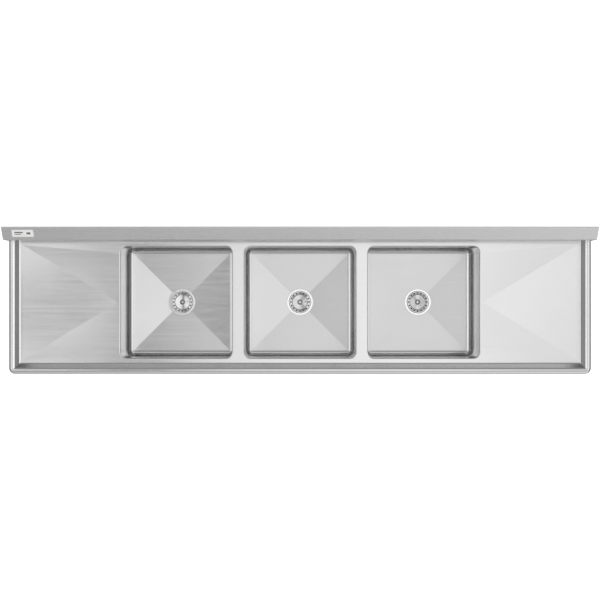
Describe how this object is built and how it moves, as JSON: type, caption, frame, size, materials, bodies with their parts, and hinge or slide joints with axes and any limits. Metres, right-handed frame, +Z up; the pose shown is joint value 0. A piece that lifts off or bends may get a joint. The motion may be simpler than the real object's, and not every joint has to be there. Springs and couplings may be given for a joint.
{
  "type": "three compartment sink",
  "caption": "Free-standing stainless commercial sink: square bowls in a row, pitched drainboards at both ends, rolled rim, backsplash and braced legs on adjustable feet.",
  "frame": {"origin": "on the floor under the middle of the sink's outline", "axes": "+X along the sink to the right of a user at the front, +Y to the wall, +Z up"},
  "size_m": [2.3876, 0.597, 1.1432],
  "materials": {
    "deck_steel": "satin, grain along the sink",
    "splash_steel": "satin, grain along the sink",
    "bowl_steel": "satin, polished corners",
    "channel_steel": "mill finish",
    "socket_metal": "cast, lightly tumbled",
    "leg_steel": "satin tube",
    "fitting_metal": "cast, lightly tumbled",
    "foot_insert_plastic": "moulded nylon",
    "foot_steel": "turned",
    "screw_steel": "blackened",
    "strainer_chrome": "polished",
    "outlet_metal": "die cast",
    "basket_steel": "polished pressing",
    "tailpiece_chrome": "plated tube",
    "rubber_black": "moulded",
    "fibre_ring": "pressed fibre",
    "nut_metal": "die cast",
    "label_face": "printed film, blank"
  },
  "bodies": {
    "sink": {"bowl_deck": "deck_steel", "left_drainboard": "deck_steel", "right_drainboard": "deck_steel", "backsplash": "splash_steel", "left_end_cap": "splash_steel", "right_end_cap": "splash_steel", "bowl_left": "bowl_steel", "bowl_centre": "bowl_steel", "bowl_right": "bowl_steel", "left_leg_channel": "channel_steel", "right_leg_channel": "channel_steel", "left_board_channel": "channel_steel", "right_board_channel": "channel_steel", "leg_socket_front_left": "socket_metal", "leg_socket_front_right": "socket_metal", "leg_socket_rear_left": "socket_metal", "leg_socket_rear_right": "socket_metal", "leg_front_left": "leg_steel", "leg_front_right": "leg_steel", "leg_rear_left": "leg_steel", "leg_rear_right": "leg_steel", "left_brace": "leg_steel", "right_brace": "leg_steel", "rear_brace": "leg_steel", "front_brace_fittings": "fitting_metal", "rear_brace_fittings": "fitting_metal", "foot_insert_front_left": "foot_insert_plastic", "foot_insert_front_right": "foot_insert_plastic", "foot_insert_rear_left": "foot_insert_plastic", "foot_insert_rear_right": "foot_insert_plastic", "set_screws": "screw_steel", "strainer_body_left": "strainer_chrome", "strainer_body_centre": "strainer_chrome", "strainer_body_right": "strainer_chrome", "strainer_outlet_left": "outlet_metal", "strainer_outlet_centre": "outlet_metal", "strainer_outlet_right": "outlet_metal", "tailpiece_left": "tailpiece_chrome", "tailpiece_centre": "tailpiece_chrome", "tailpiece_right": "tailpiece_chrome", "strainer_gaskets": "rubber_black", "tailpiece_washers": "rubber_black", "friction_rings": "fibre_ring", "locknuts": "nut_metal", "coupling_nuts": "nut_metal", "label_plate": "label_face"},
    "basket_left": {"basket_left": "basket_steel"},
    "stopper_left": {"stopper_post_left": "basket_steel", "stopper_left": "rubber_black"},
    "basket_centre": {"basket_centre": "basket_steel"},
    "stopper_centre": {"stopper_post_centre": "basket_steel", "stopper_centre": "rubber_black"},
    "basket_right": {"basket_right": "basket_steel"},
    "stopper_right": {"stopper_post_right": "basket_steel", "stopper_right": "rubber_black"},
    "foot_front_left": {"foot_front_left": "foot_steel"},
    "foot_front_right": {"foot_front_right": "foot_steel"},
    "foot_rear_left": {"foot_rear_left": "foot_steel"},
    "foot_rear_right": {"foot_rear_right": "foot_steel"}
  },
  "joints": [
    {"name": "basket_left_lift", "type": "slide", "parent": "sink", "child": "basket_left", "axis": [0, 0, 1], "range_m": [0, 0.45]},
    {"name": "stopper_left_pull", "type": "slide", "parent": "basket_left", "child": "stopper_left", "axis": [0, 0, 1], "range_m": [0, 0.012]},
    {"name": "basket_centre_lift", "type": "slide", "parent": "sink", "child": "basket_centre", "axis": [0, 0, 1], "range_m": [0, 0.45]},
    {"name": "stopper_centre_pull", "type": "slide", "parent": "basket_centre", "child": "stopper_centre", "axis": [0, 0, 1], "range_m": [0, 0.012]},
    {"name": "basket_right_lift", "type": "slide", "parent": "sink", "child": "basket_right", "axis": [0, 0, 1], "range_m": [0, 0.45]},
    {"name": "stopper_right_pull", "type": "slide", "parent": "basket_right", "child": "stopper_right", "axis": [0, 0, 1], "range_m": [0, 0.012]},
    {"name": "foot_front_left_height", "type": "slide", "parent": "sink", "child": "foot_front_left", "axis": [0, 0, 1], "range_m": [-0.025, 0.012]},
    {"name": "foot_front_right_height", "type": "slide", "parent": "sink", "child": "foot_front_right", "axis": [0, 0, 1], "range_m": [-0.025, 0.012]},
    {"name": "foot_rear_left_height", "type": "slide", "parent": "sink", "child": "foot_rear_left", "axis": [0, 0, 1], "range_m": [-0.025, 0.012]},
    {"name": "foot_rear_right_height", "type": "slide", "parent": "sink", "child": "foot_rear_right", "axis": [0, 0, 1], "range_m": [-0.025, 0.012]}
  ]
}
